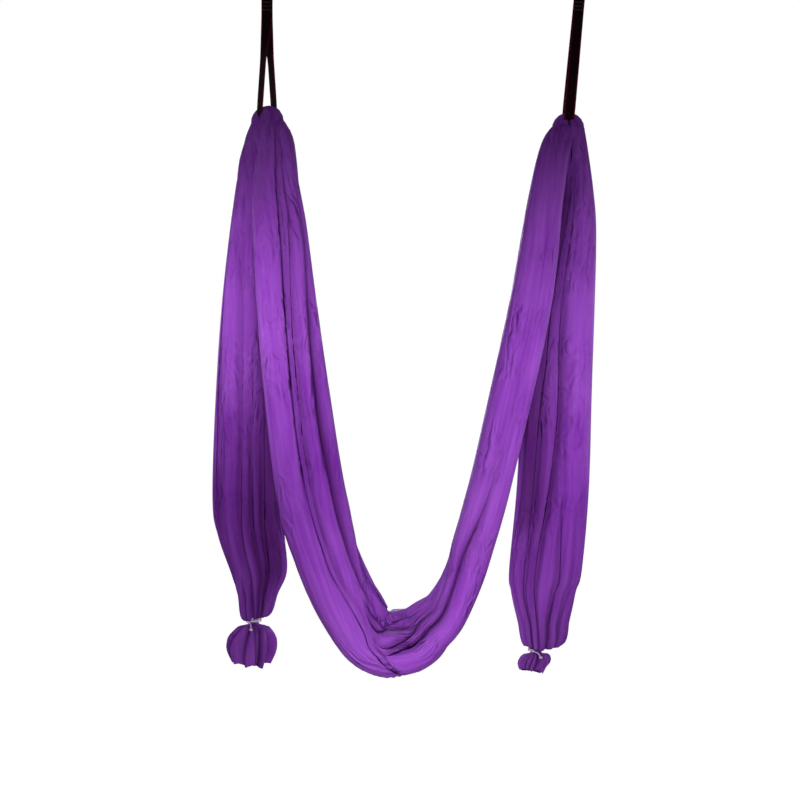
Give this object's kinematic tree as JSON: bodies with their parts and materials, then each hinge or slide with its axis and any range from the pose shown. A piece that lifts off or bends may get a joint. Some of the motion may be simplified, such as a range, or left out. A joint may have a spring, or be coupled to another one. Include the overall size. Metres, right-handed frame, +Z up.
{
  "type": "aerial yoga hammock",
  "caption": "Gathered satin cloth sling on two webbing straps with screw-lock carabiners, its long tails tied off and hanging free.",
  "frame": {"origin": "where the inside of the left carabiner's crown bears on the hook that holds it", "axes": "+Z up, +X from the left hanging point to the right one, -Y to the front, as pictured"},
  "size_m": [0.871, 0.2049, 1.6475],
  "materials": {
    "satin_nylon_cloth": "purple nylon tricot with a satin sheen",
    "nylon_webbing": "black woven webbing with dark red edges, matt",
    "pale_cord": "pale twisted cord, matt",
    "zinc_plated_steel": "bright zinc plating, lightly worn",
    "knurled_steel": "diamond knurled grip, satin"
  },
  "bodies": {
    "hangers": {"left_carabiner_frame": "zinc_plated_steel", "left_gate_hinge_rivet": "zinc_plated_steel", "right_carabiner_frame": "zinc_plated_steel", "right_gate_hinge_rivet": "zinc_plated_steel"},
    "left_gate_body": {"left_gate": "zinc_plated_steel", "left_gate_latch_pin": "zinc_plated_steel", "left_gate_spring": "zinc_plated_steel", "left_gate_plunger": "zinc_plated_steel"},
    "right_gate_body": {"right_gate": "zinc_plated_steel", "right_gate_latch_pin": "zinc_plated_steel", "right_gate_spring": "zinc_plated_steel", "right_gate_plunger": "zinc_plated_steel"},
    "left_sleeve_body": {"left_lock_sleeve": "knurled_steel"},
    "right_sleeve_body": {"right_lock_sleeve": "knurled_steel"},
    "hammock": {"fabric_sling": "satin_nylon_cloth", "left_strap": "nylon_webbing", "right_strap": "nylon_webbing"},
    "left_tail_body": {"left_tail": "satin_nylon_cloth", "left_tie_cord": "pale_cord"},
    "right_tail_body": {"right_tail": "satin_nylon_cloth", "right_tie_cord": "pale_cord"}
  },
  "joints": [
    {"name": "swing", "type": "hinge", "parent": "hangers", "child": "hammock", "pos_m": [0, 0, -0.094], "axis": [1, 0, 0], "range_deg": [-40, 40]},
    {"name": "left_tail_swing", "type": "hinge", "parent": "hammock", "child": "left_tail_body", "pos_m": [-0.01444, 0.01917, -0.4043], "axis": [1, 0, 0], "range_deg": [0, 35]},
    {"name": "left_gate_open", "type": "hinge", "parent": "hangers", "child": "left_gate_body", "pos_m": [0.026, 0, -0.031], "axis": [0, 1, 0], "range_deg": [0, 25], "stiffness_Nm_per_rad": 0.3},
    {"name": "left_sleeve_travel", "type": "slide", "parent": "left_gate_body", "child": "left_sleeve_body", "axis": [0, 0, -1], "range_m": [0, 0.017]},
    {"name": "right_tail_swing", "type": "hinge", "parent": "hammock", "child": "right_tail_body", "pos_m": [0.7015, 0, -0.4203], "axis": [1, 0, 0], "range_deg": [0, 35]},
    {"name": "right_gate_open", "type": "hinge", "parent": "hangers", "child": "right_gate_body", "pos_m": [0.73, 0, -0.031], "axis": [0, 1, 0], "range_deg": [0, 25], "stiffness_Nm_per_rad": 0.3},
    {"name": "right_sleeve_travel", "type": "slide", "parent": "right_gate_body", "child": "right_sleeve_body", "axis": [0, 0, -1], "range_m": [0, 0.017]}
  ]
}
